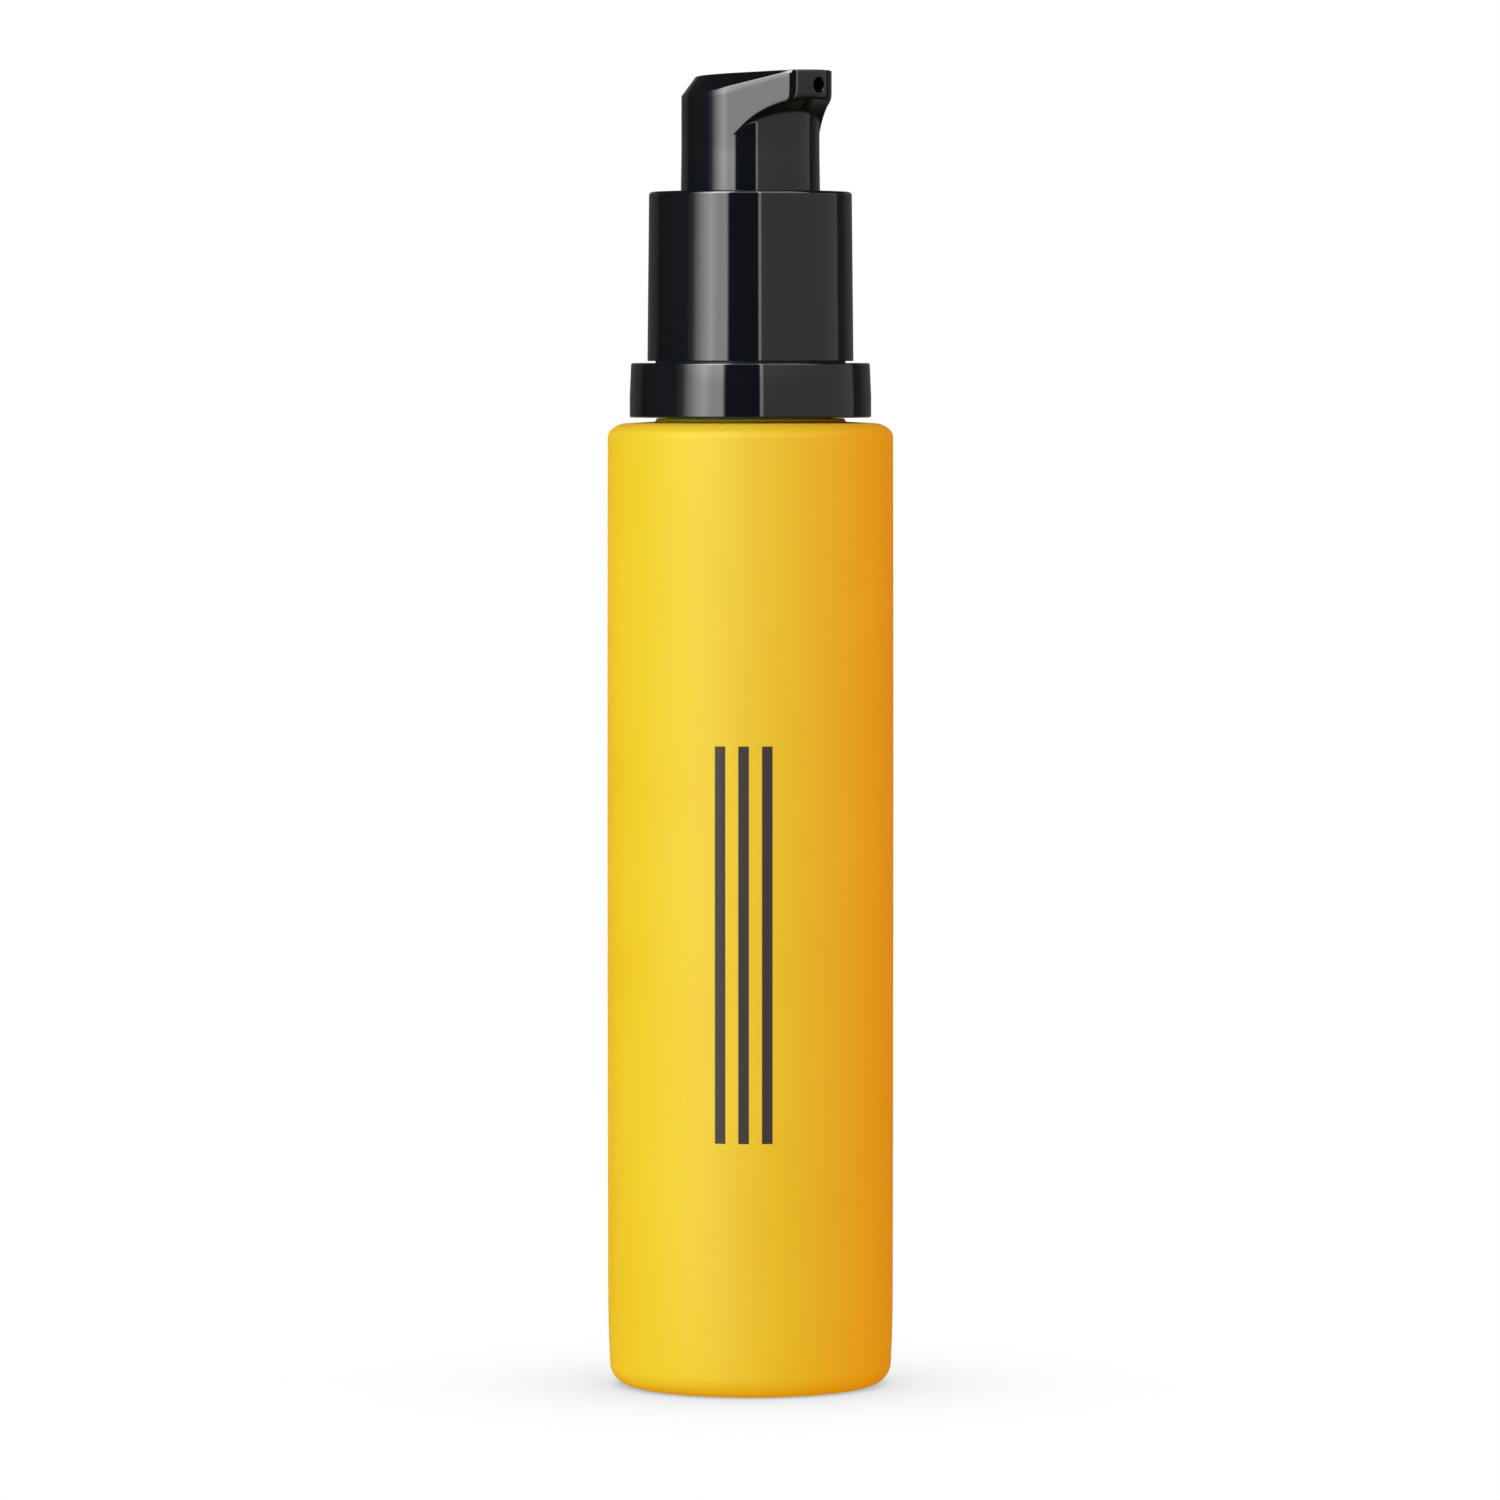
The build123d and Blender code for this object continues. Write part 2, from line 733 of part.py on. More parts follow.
with BuildPart() as actuator:
    # Round barrel, cut to the cone of its rear bevel.
    with BuildSketch(Plane.XZ):
        with BuildLine():
            Polyline(
                (0, button_low_z),
                (button_r_low, button_low_z),
                (button_r, button_straight_z),
                (button_r, button_top_z),
                (0, button_top_z),
                close=True,
            )
        make_face()
    revolve(axis=Axis.Z)
    with BuildSketch(bevel_side):
        with BuildLine():
            Polyline(
                (0, 2 * bevel_up),
                (button_r - 2 * bevel_in, 2 * bevel_up),
                (button_r + 2 * bevel_in, -2 * bevel_up),
                (button_r + 2 * bevel_in, button_low_z - button_top_z),
                (0, button_low_z - button_top_z),
                close=True,
            )
        make_face()
    revolve(axis=Axis(bevel_side.origin, bevel_side.y_dir), mode=Mode.INTERSECT)
    # The sector in front of the bevel belongs to the beak.
    sector_width = beak_reach * tan(radians(bevel_angle))
    with BuildSketch(beak_plan(bevel_start_z)):
        with BuildLine():
            Polyline((0, 0), (beak_reach, sector_width), (beak_reach, -sector_width), close=True)
        make_face()
    extrude(amount=2 * bevel_up, mode=Mode.SUBTRACT)
    add(beak.part)
    split(bisect_by=top_plane, keep=Keep.BOTTOM)
    # Hollow between the skirt and the stem socket.
    with BuildSketch(Plane.XY.offset(button_low_z)):
        Circle(button_cavity_r)
        Circle(socket_outer_r, mode=Mode.SUBTRACT)
    extrude(amount=button_cavity_z - button_low_z, mode=Mode.SUBTRACT)
    # Socket, riser and outlet.
    with BuildSketch(Plane.XZ):
        with BuildLine():
            Polyline(
                (0, button_low_z),
                (socket_outer_r, button_low_z),
                (socket_outer_r, socket_low_z),
                (stem_r + socket_lead, socket_low_z),
                (stem_r, socket_low_z + 2 * socket_lead),
                (stem_r, stem_top_z),
                (stem_bore_r, stem_top_z),
                (stem_bore_r, outlet_z),
                (0, outlet_z),
                close=True,
            )
        make_face()
    revolve(axis=Axis.Z, mode=Mode.SUBTRACT)
    with BuildSketch(Plane.XZ):
        with Locations((0, outlet_z)):
            Circle(outlet_r)
    extrude(amount=beak_reach, mode=Mode.SUBTRACT)
    # Ribs between the socket and the skirt.
    with BuildSketch(Plane.XY.offset(button_rib_low_z)):
        with PolarLocations((socket_outer_r + button_cavity_r) / 2, button_rib_count, start_angle=45):
            Rectangle(button_cavity_r - socket_outer_r + 2 * overlap, button_rib)
    extrude(amount=button_cavity_z - button_rib_low_z)

# ---------------------------------------------------------------------------
# Export: one file per piece
# ---------------------------------------------------------------------------

pieces = {
    "outer_shell": outer_shell,
    "base_plug": base_plug,
    "inner_vessel": inner_vessel,
    "follower_piston": follower_piston,
    "cap_ring": cap_ring,
    "closure": closure,
    "collar_sleeve": collar_sleeve,
    "neck_gasket": neck_gasket,
    "pump_housing": pump_housing,
    "inlet_ball": inlet_ball,
    "return_spring": return_spring,
    "piston_rod": piston_rod,
    "pump_piston": pump_piston,
    "stem": stem,
    "stem_guide": stem_guide,
    "actuator": actuator,
}

for name, piece in pieces.items():
    piece.part.label = name
    export_step(piece.part, f"parts/{name}.step")
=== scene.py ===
"""Looks of the airless foundation bottle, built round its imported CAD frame.

Shapes are worked out in millimetres and scaled to metres as each mesh is made. The overall heights come from
the frame's nodes. The sections repeat the CAD's radii and add the small edge rounding of the moulded parts.
"""

import json
import math

import bmesh
import bpy
import numpy as np
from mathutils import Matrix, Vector


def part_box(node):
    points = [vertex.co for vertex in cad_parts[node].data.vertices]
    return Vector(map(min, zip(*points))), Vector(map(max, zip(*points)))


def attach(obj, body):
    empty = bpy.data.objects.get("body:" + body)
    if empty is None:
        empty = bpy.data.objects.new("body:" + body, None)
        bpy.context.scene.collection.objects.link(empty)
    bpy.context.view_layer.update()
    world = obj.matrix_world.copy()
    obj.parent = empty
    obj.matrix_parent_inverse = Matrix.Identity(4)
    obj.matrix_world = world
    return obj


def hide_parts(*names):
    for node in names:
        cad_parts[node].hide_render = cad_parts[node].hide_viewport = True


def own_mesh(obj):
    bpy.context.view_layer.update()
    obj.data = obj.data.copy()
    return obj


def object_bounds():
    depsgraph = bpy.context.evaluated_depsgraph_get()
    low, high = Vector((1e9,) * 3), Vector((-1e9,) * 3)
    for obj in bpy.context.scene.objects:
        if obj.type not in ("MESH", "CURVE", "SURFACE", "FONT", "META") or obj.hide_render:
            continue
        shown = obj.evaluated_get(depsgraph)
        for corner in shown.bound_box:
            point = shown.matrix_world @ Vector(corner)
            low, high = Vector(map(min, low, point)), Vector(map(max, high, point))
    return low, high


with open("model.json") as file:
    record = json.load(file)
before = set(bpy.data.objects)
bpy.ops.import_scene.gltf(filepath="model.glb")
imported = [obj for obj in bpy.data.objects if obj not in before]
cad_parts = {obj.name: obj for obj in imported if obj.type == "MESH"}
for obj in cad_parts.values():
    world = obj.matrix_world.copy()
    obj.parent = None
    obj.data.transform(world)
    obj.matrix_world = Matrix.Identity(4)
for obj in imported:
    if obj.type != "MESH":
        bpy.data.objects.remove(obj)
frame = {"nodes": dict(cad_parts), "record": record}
cad_low, cad_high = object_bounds()

MM = 0.001
LATHE_STEPS = 256
ARC_STEP = 4.0              # degrees between the points of an arc
CORNER_STEP = 10.0          # degrees between the points of a small rounded corner
MERGE = 0.0005              # points nearer than this become one
OVERLAP = 0.1               # how far a rib runs into the walls that it joins


def heights(node):
    """Lowest and highest z of a CAD node, in millimetres."""
    low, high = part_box(node)
    return low[2] / MM, high[2] / MM


# ---------------------------------------------------------------------------
# Camera: a long lens a little above the ring, with the beak turned 42 degrees to its right
# ---------------------------------------------------------------------------

CAMERA_TURN = -42.0         # azimuth of the camera about the bottle, 0 being in front of the beak
CAMERA_DISTANCE = 0.866
CAMERA_HEIGHT = 0.1064
CAMERA_SHIFT_X = -0.0003    # sideways shift of the lens, as a share of the picture
VIEW_CENTRE_Z = 0.06666
VIEW_WIDTH = 0.1573         # what the picture spans at the bottle's axis
SENSOR = 36.0
CLIP_START = 0.01


def around(azimuth, distance, z):
    """Point at an azimuth about the bottle, in degrees from the front (-Y), turning towards +X."""
    a = math.radians(azimuth)
    return Vector((distance * math.sin(a), -distance * math.cos(a), z))


def make_camera():
    camera = bpy.data.objects.new("camera", bpy.data.cameras.new("camera"))
    bpy.context.scene.collection.objects.link(camera)
    camera.location = around(CAMERA_TURN, CAMERA_DISTANCE, CAMERA_HEIGHT)
    sight = Vector((0, 0, VIEW_CENTRE_Z)) - camera.location
    camera.rotation_euler = sight.to_track_quat("-Z", "Y").to_euler()
    camera.data.sensor_width = SENSOR
    camera.data.lens = SENSOR * sight.length / VIEW_WIDTH
    camera.data.clip_start = CLIP_START
    camera.data.shift_x = CAMERA_SHIFT_X
    bpy.context.scene.camera = camera


make_camera()

# ---------------------------------------------------------------------------
# Node helpers
# ---------------------------------------------------------------------------

NOISE_SPAN = (0.3, 0.7)     # where most of a noise's values lie


def new_material(name, **values):
    """Principled material, its sockets set by name; returns it, its node tree and its shader."""
    material = bpy.data.materials.new(name)
    material.use_nodes = True
    tree = material.node_tree
    shader = tree.nodes["Principled BSDF"]
    for socket, value in values.items():
        shader.inputs[socket.replace("_", " ")].default_value = value
    return material, tree, shader


def noise(tree, scale, detail=3.0, roughness=0.5, stretch=(1, 1, 1)):
    """Noise over object coordinates; scale is in features per metre. Returns its factor socket."""
    where = tree.nodes.new("ShaderNodeTexCoord")
    mapping = tree.nodes.new("ShaderNodeMapping")
    mapping.inputs["Scale"].default_value = stretch
    texture = tree.nodes.new("ShaderNodeTexNoise")
    texture.inputs["Scale"].default_value = scale
    texture.inputs["Detail"].default_value = detail
    texture.inputs["Roughness"].default_value = roughness
    tree.links.new(where.outputs["Object"], mapping.inputs["Vector"])
    tree.links.new(mapping.outputs["Vector"], texture.inputs["Vector"])
    return texture.outputs["Fac"]


def spread(tree, factor, target, source=NOISE_SPAN):
    """Maps a factor from the source range to the target range."""
    node = tree.nodes.new("ShaderNodeMapRange")
    node.inputs["From Min"].default_value, node.inputs["From Max"].default_value = source
    node.inputs["To Min"].default_value, node.inputs["To Max"].default_value = target
    tree.links.new(factor, node.inputs["Value"])
    return node.outputs["Result"]


def blend_colours(tree, factor, colour_a, colour_b):
    """Colour between a and b by a factor."""
    node = tree.nodes.new("ShaderNodeMix")
    node.data_type = "RGBA"
    node.inputs["A"].default_value = (*colour_a, 1)
    node.inputs["B"].default_value = (*colour_b, 1)
    tree.links.new(factor, node.inputs["Factor"])
    return node.outputs["Result"]


def dress(tree, shader, tone, roughness, relief):
    """Gives a shader its colour, roughness and relief, which is a list of (height factor, metres)."""
    tree.links.new(tone, shader.inputs["Base Color"])
    tree.links.new(roughness, shader.inputs["Roughness"])
    normal = None
    for factor, depth in relief:
        bump = tree.nodes.new("ShaderNodeBump")
        bump.inputs["Strength"].default_value = 1.0
        bump.inputs["Distance"].default_value = depth
        tree.links.new(factor, bump.inputs["Height"])
        if normal is not None:
            tree.links.new(normal, bump.inputs["Normal"])
        normal = bump.outputs["Normal"]
    tree.links.new(normal, shader.inputs["Normal"])


# ---------------------------------------------------------------------------
# Materials
# ---------------------------------------------------------------------------


def soft_touch_yellow():
    """Matt soft-touch lacquer: fine orange peel, a velvety grain and a slight drift of its colour."""
    material, tree, shader = new_material("soft_touch_yellow", IOR=1.45, Specular_IOR_Level=0.22)
    drift = noise(tree, 60, detail=2)
    grain = noise(tree, 9000, detail=2)
    peel = noise(tree, 900, detail=1)
    tone = blend_colours(tree, spread(tree, drift, (0, 1)), (0.86, 0.452, 0.01), (0.88, 0.475, 0.014))
    dress(tree, shader, tone, spread(tree, grain, (0.47, 0.55)), [(peel, 6e-6), (grain, 4e-6)])
    return material


def gloss_black():
    """Polished injection-moulded black: mirror gloss with faint haze, flow waviness and rub marks."""
    material, tree, shader = new_material("gloss_black", IOR=1.5)
    haze = noise(tree, 2500, detail=4, roughness=0.7)
    waves = noise(tree, 120, detail=1)
    rubs = noise(tree, 700, detail=5, roughness=0.7, stretch=(9, 9, 0.6))
    tone = blend_colours(tree, noise(tree, 150), (0.0035, 0.0035, 0.004), (0.0055, 0.0055, 0.006))
    roughness = spread(tree, haze, (0.035, 0.06), source=(0.35, 0.75))
    dress(tree, shader, tone, roughness, [(waves, 4e-6), (rubs, 1.5e-7)])
    return material


def moulded_black():
    """Plain moulded black of the screw cap, with a spark-eroded grain."""
    material, tree, shader = new_material("moulded_black", IOR=1.49)
    grain = noise(tree, 5000, detail=4)
    tone = blend_colours(tree, grain, (0.02, 0.02, 0.021), (0.035, 0.035, 0.036))
    dress(tree, shader, tone, spread(tree, grain, (0.42, 0.6)), [(grain, 1.2e-5)])
    return material


def natural_polypropylene():
    """Cloudy natural polypropylene with flow streaks."""
    material, tree, shader = new_material("natural_polypropylene", IOR=1.49, Subsurface_Weight=0.25)
    shader.inputs["Subsurface Radius"].default_value = (0.004, 0.004, 0.004)
    shader.inputs["Subsurface Scale"].default_value = 0.5
    cloud = noise(tree, 250, detail=4)
    streak = noise(tree, 400, detail=3, stretch=(4, 4, 0.4))
    tone = blend_colours(tree, cloud, (0.72, 0.74, 0.73), (0.84, 0.85, 0.84))
    dress(tree, shader, tone, spread(tree, streak, (0.24, 0.38)), [(streak, 8e-6)])
    return material


def white_polyethylene():
    """Waxy white polyethylene of the seals."""
    material, tree, shader = new_material("white_polyethylene", IOR=1.51, Subsurface_Weight=0.3)
    shader.inputs["Subsurface Radius"].default_value = (0.003, 0.003, 0.003)
    shader.inputs["Subsurface Scale"].default_value = 0.5
    wax = noise(tree, 1200, detail=4)
    tone = blend_colours(tree, wax, (0.78, 0.78, 0.75), (0.86, 0.86, 0.84))
    dress(tree, shader, tone, spread(tree, wax, (0.4, 0.55)), [(wax, 1e-5)])
    return material


def soft_gasket():
    """Foamed polyethylene with open cells."""
    material, tree, shader = new_material("soft_gasket", IOR=1.45)
    cells = tree.nodes.new("ShaderNodeTexVoronoi")
    cells.inputs["Scale"].default_value = 6000
    where = tree.nodes.new("ShaderNodeTexCoord")
    tree.links.new(where.outputs["Object"], cells.inputs["Vector"])
    pits = cells.outputs["Distance"]
    tone = blend_colours(tree, pits, (0.5, 0.5, 0.48), (0.72, 0.72, 0.69))
    dress(tree, shader, tone, spread(tree, pits, (0.7, 0.9), source=(0, 0.8)), [(pits, 4e-5)])
    return material


def ball_glass():
    """Polished glass of the check ball, with a faint ground haze."""
    material, tree, shader = new_material("ball_glass", IOR=1.52, Transmission_Weight=0.9)
    haze = noise(tree, 4000, detail=3)
    tone = blend_colours(tree, haze, (0.8, 0.86, 0.87), (0.88, 0.92, 0.92))
    dress(tree, shader, tone, spread(tree, haze, (0.03, 0.1)), [(haze, 1e-6)])
    return material


def spring_steel():
    """Drawn stainless wire with fine die marks."""
    material, tree, shader = new_material("spring_steel", Metallic=1.0)
    marks = noise(tree, 3000, detail=4, stretch=(1, 1, 6))
    tone = blend_colours(tree, marks, (0.46, 0.46, 0.47), (0.62, 0.61, 0.6))
    dress(tree, shader, tone, spread(tree, marks, (0.22, 0.4)), [(marks, 6e-6)])
    return material


def printed_ink():
    """Screen-printed dark ink: slightly glossier than the lacquer, with a faint mottle in its cover."""
    material, tree, shader = new_material("printed_ink", IOR=1.47, Specular_IOR_Level=0.25)
    mottle = noise(tree, 5000, detail=3)
    tone = blend_colours(tree, mottle, (0.028, 0.016, 0.013), (0.036, 0.021, 0.017))
    dress(tree, shader, tone, spread(tree, mottle, (0.42, 0.55)), [(mottle, 5e-6)])
    return material


MAKERS = [
    soft_touch_yellow,
    gloss_black,
    moulded_black,
    natural_polypropylene,
    white_polyethylene,
    soft_gasket,
    ball_glass,
    spring_steel,
    printed_ink,
]
materials = {maker.__name__: maker() for maker in MAKERS}

for part in frame["record"]["subparts"]:
    node = frame["nodes"][part["node"]]
    node.data.materials.clear()
    node.data.materials.append(materials[part["material_slot"]])


# ---------------------------------------------------------------------------
# Mesh helpers
# ---------------------------------------------------------------------------


def add_piece(name, points, faces, body=None, slot=None, replaced=()):
    """Mesh from points in millimetres; with a body, it also gets its material and what it replaces."""
    mesh = bpy.data.meshes.new(name)
    mesh.from_pydata([tuple(c * MM for c in p) for p in points], [], faces)
    clean = bmesh.new()
    clean.from_mesh(mesh)
    bmesh.ops.remove_doubles(clean, verts=clean.verts, dist=MERGE * MM)
    bmesh.ops.recalc_face_normals(clean, faces=clean.faces)
    clean.to_mesh(mesh)
    clean.free()
    piece = bpy.data.objects.new(name, mesh)
    bpy.context.scene.collection.objects.link(piece)
    if body:
        mesh.materials.append(materials[slot])
        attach(piece, body)
    if replaced:
        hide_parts(*replaced)
    return piece


def combine(piece, others, operation):
    """Cuts the other meshes from a piece, or joins them to it, and deletes them."""
    for other in others:
        modifier = piece.modifiers.new(operation, "BOOLEAN")
        modifier.operation = operation
        modifier.solver = "EXACT"
        modifier.object = other
    seen = piece.evaluated_get(bpy.context.evaluated_depsgraph_get())
    piece.data = bpy.data.meshes.new_from_object(seen)
    piece.modifiers.clear()
    for other in others:
        bpy.data.objects.remove(other)


def smooth(piece, sharp_angle=35.0):
    """Smooth shading that breaks at sharp corners and keeps flat walls flat beside their roundings."""
    piece.data.shade_smooth()
    piece.data.set_sharp_from_angle(angle=math.radians(sharp_angle))
    modifier = piece.modifiers.new("even_normals", "WEIGHTED_NORMAL")
    modifier.keep_sharp = True


def block(centre, size, turn=0.0):
    """Box used to cut or join, its sides along x, y and z and then turned about the bottle's axis."""
    a = math.radians(turn)
    points = []
    for i in range(8):
        x, y, z = (centre[k] + size[k] * (0.5 if i >> k & 1 else -0.5) for k in range(3))
        points.append((x * math.cos(a) - y * math.sin(a), x * math.sin(a) + y * math.cos(a), z))
    faces = [(0, 2, 3, 1), (4, 5, 7, 6), (0, 1, 5, 4), (2, 6, 7, 3), (0, 4, 6, 2), (1, 3, 7, 5)]
    return add_piece("block", points, faces)


def arc(centre, radius, start, end, step=ARC_STEP):
    """Points of an arc in the (r, z) plane, angles in degrees from +r."""
    count = max(2, round(abs(end - start) / step))
    angles = [math.radians(start + (end - start) * i / count) for i in range(count + 1)]
    return [(centre[0] + radius * math.cos(a), centre[1] + radius * math.sin(a)) for a in angles]


def rounded(corners):
    """Outline through (x, y, radius) corners of a closed polygon, each corner replaced by its arc."""
    outline = []
    for i, (x, y, radius) in enumerate(corners):
        if radius == 0:
            outline.append((x, y))
            continue
        here = Vector((x, y))
        back = (Vector(corners[i - 1][:2]) - here).normalized()
        ahead = (Vector(corners[(i + 1) % len(corners)][:2]) - here).normalized()
        half = back.angle(ahead) / 2
        reach = radius / math.tan(half)
        centre = here + (back + ahead).normalized() * (radius / math.sin(half))
        start = here + back * reach - centre
        end = here + ahead * reach - centre
        turn = start.angle_signed(end)
        count = max(2, round(math.degrees(abs(turn)) / CORNER_STEP))
        first = math.atan2(start.y, start.x)
        for k in range(count + 1):
            a = first - turn * k / count
            outline.append((centre.x + radius * math.cos(a), centre.y + radius * math.sin(a)))
    return outline


def lathe(name, outline, body=None, slot=None, replaced=(), steps=LATHE_STEPS):
    """Closed ring of an (r, z) outline turned about the bottle's axis."""
    points, faces = [], []
    count = len(outline)
    for i in range(steps):
        a = 2 * math.pi * i / steps
        for r, z in outline:
            points.append((r * math.cos(a), r * math.sin(a), z))
        for j in range(count):
            k, next_ring = (j + 1) % count, ((i + 1) % steps) * count
            faces.append((i * count + j, i * count + k, next_ring + k, next_ring + j))
    return add_piece(name, points, faces, body, slot, replaced)


# ---------------------------------------------------------------------------
# Body shell
# ---------------------------------------------------------------------------

BODY_R, BODY_R_LOW, BODY_R_TOP = 15.0, 14.97, 14.94
BODY_MID_Z = 50.0
HEEL_R, HEEL_TURN, HEEL_BLEND_R = 2.3, 87.0, 149.0
SHOULDER_R, SHOULDER_TURN, SHOULDER_START_Z = 1.1, 45.0, 99.43
SHOULDER_BLEND_R, SHOULDER_RISE = 2.4, 3.0
BORE_R, MOUTH_R, ROOF_Z = 12.1, 9.3, 98.7
MOUTH_EDGE = 0.12
# A raised rim round the mouth closes the view under the ring. Its foot starts just below the shoulder's top.
RIM_R, RIM_Z, RIM_FOOT_DROP = 9.9, 101.42, 0.04
# The base plug snaps into the groove. Its half heights are those of its mouth and of its floor.
GROOVE_Z, GROOVE_DEPTH, GROOVE_HALF_MOUTH, GROOVE_HALF_FLOOR = 2.0, 0.15, 0.3, 0.15
# Notches in the roof key the inner vessel. The block that cuts one is twice as deep and high as it.
KEY_NOTCHES, KEY_NOTCH_SIZE = 4, (1.2, 1.8, 2.8)
BLEND_STEPS, SIDE_STEPS = 8, 30

heel_turn = math.radians(HEEL_TURN)
blend_turn = math.radians(90 - HEEL_TURN)
foot_r = BODY_R_LOW - HEEL_R * math.sin(heel_turn) - HEEL_BLEND_R * (1 - math.cos(blend_turn))
heel_top_z = HEEL_R * (1 - math.cos(heel_turn))
blend_top_z = heel_top_z + HEEL_BLEND_R * math.sin(blend_turn)


def body_radius(z):
    """Outside radius of the body at a height, above its tight heel arc."""
    if z < blend_top_z:
        return BODY_R_LOW - HEEL_BLEND_R + math.sqrt(HEEL_BLEND_R**2 - (blend_top_z - z) ** 2)
    end_r, end_z = (BODY_R_LOW, blend_top_z) if z < BODY_MID_Z else (BODY_R_TOP, SHOULDER_START_Z)
    return BODY_R - (BODY_R - end_r) * ((z - BODY_MID_Z) / (end_z - BODY_MID_Z)) ** 2


def make_body_shell():
    mouth_z = heights("outer_shell")[1]
    outline = [(BORE_R, MOUTH_EDGE), (BORE_R + MOUTH_EDGE, 0)]
    outline += arc((foot_r, HEEL_R), HEEL_R, -90, -90 + HEEL_TURN)
    blend_height, side_height = blend_top_z - heel_top_z, SHOULDER_START_Z - blend_top_z
    side_z = [heel_top_z + blend_height * i / BLEND_STEPS for i in range(1, BLEND_STEPS + 1)]
    side_z += [blend_top_z + side_height * i / SIDE_STEPS for i in range(1, SIDE_STEPS)]
    outline += [(body_radius(z), z) for z in side_z]
    corner = (BODY_R_TOP - SHOULDER_R, SHOULDER_START_Z)
    outline += arc(corner, SHOULDER_R, 0, SHOULDER_TURN)
    inset = (SHOULDER_R - SHOULDER_BLEND_R) * math.cos(math.radians(SHOULDER_TURN))
    blend = (corner[0] + inset, corner[1] + inset)
    outline += arc(blend, SHOULDER_BLEND_R, SHOULDER_TURN, 90 - SHOULDER_RISE)[1:]
    outline += [
        (RIM_R + MOUTH_EDGE, mouth_z - RIM_FOOT_DROP),
        (RIM_R, mouth_z + MOUTH_EDGE),
        (RIM_R, RIM_Z - MOUTH_EDGE),
        (RIM_R - MOUTH_EDGE, RIM_Z),
        (MOUTH_R + MOUTH_EDGE, RIM_Z),
        (MOUTH_R, RIM_Z - MOUTH_EDGE),
        (MOUTH_R, ROOF_Z),
        (BORE_R, ROOF_Z),
        (BORE_R, GROOVE_Z + GROOVE_HALF_MOUTH),
        (BORE_R + GROOVE_DEPTH, GROOVE_Z + GROOVE_HALF_FLOOR),
        (BORE_R + GROOVE_DEPTH, GROOVE_Z - GROOVE_HALF_FLOOR),
        (BORE_R, GROOVE_Z - GROOVE_HALF_MOUTH),
    ]
    shell = lathe("body_shell", outline, "root", "soft_touch_yellow", ["outer_shell"])
    turns = [360 * i / KEY_NOTCHES for i in range(KEY_NOTCHES)]
    notches = [block((MOUTH_R, 0, ROOF_Z), KEY_NOTCH_SIZE, turn) for turn in turns]
    combine(shell, notches, "DIFFERENCE")
    smooth(shell)


make_body_shell()

# ---------------------------------------------------------------------------
# Ring and collar
# ---------------------------------------------------------------------------

INNER_EDGE = 0.1            # rounding of edges that face inwards
RING_R, RING_R_TOP, RING_BASE_Z, RING_BAND_Z = 12.64, 12.49, 101.5, 103.7
RING_HUB_R, RING_HUB_WALL, RING_WALL = 10.0, 1.0, 1.2
RING_EDGE, RING_FILLET = 0.22, 0.2
RING_RIBS, RING_RIB_WIDTH = 12, 0.8
COLLAR_R_BASE, COLLAR_R_TOP, COLLAR_BORE_R = 10.78, 10.605, 9.97
COLLAR_HOLE_R, COLLAR_WEB = 7.65, 1.0
COLLAR_FOOT_EDGE, COLLAR_TOP_EDGE, COLLAR_HOLE_EDGE, COLLAR_FILLET = 0.06, 0.35, 0.18, 0.3


def make_ring():
    high = heights("cap_ring")[1]
    outline = rounded([
        (RING_HUB_R, RING_BASE_Z, INNER_EDGE),
        (RING_HUB_R + RING_HUB_WALL, RING_BASE_Z, INNER_EDGE),
        (RING_HUB_R + RING_HUB_WALL, high - RING_WALL, RING_FILLET),
        (RING_R - RING_WALL, high - RING_WALL, RING_FILLET),
        (RING_R - RING_WALL, RING_BASE_Z, INNER_EDGE),
        (RING_R, RING_BASE_Z, RING_EDGE),
        (RING_R, RING_BAND_Z, 0),
        (RING_R_TOP, high, RING_EDGE),
        (RING_HUB_R, high, INNER_EDGE),
    ])
    ring = lathe("shoulder_ring", outline, "root", "gloss_black", ["cap_ring"])
    rib_from, rib_to = RING_HUB_R + RING_HUB_WALL - OVERLAP, RING_R - RING_WALL + OVERLAP
    rib_low, rib_high = RING_BAND_Z, high - RING_WALL + OVERLAP
    rib_centre = ((rib_from + rib_to) / 2, 0, (rib_low + rib_high) / 2)
    rib_size = (rib_to - rib_from, RING_RIB_WIDTH, rib_high - rib_low)
    ribs = [block(rib_centre, rib_size, 360 * i / RING_RIBS) for i in range(RING_RIBS)]
    combine(ring, ribs, "UNION")
    smooth(ring)


def make_collar():
    low, high = heights("collar_sleeve")
    outline = rounded([
        (COLLAR_BORE_R, low, COLLAR_FOOT_EDGE),
        (COLLAR_R_BASE, low, COLLAR_FOOT_EDGE),
        (COLLAR_R_TOP, high, COLLAR_TOP_EDGE),
        (COLLAR_HOLE_R, high, COLLAR_HOLE_EDGE),
        (COLLAR_HOLE_R, high - COLLAR_WEB, INNER_EDGE),
        (COLLAR_BORE_R, high - COLLAR_WEB, COLLAR_FILLET),
    ])
    collar = lathe("pump_collar", outline, "root", "gloss_black", ["collar_sleeve"])
    smooth(collar)


make_ring()
make_collar()

# ---------------------------------------------------------------------------
# Actuator: one section per azimuth, from the middle of the top, down the outside and up the inside
# ---------------------------------------------------------------------------

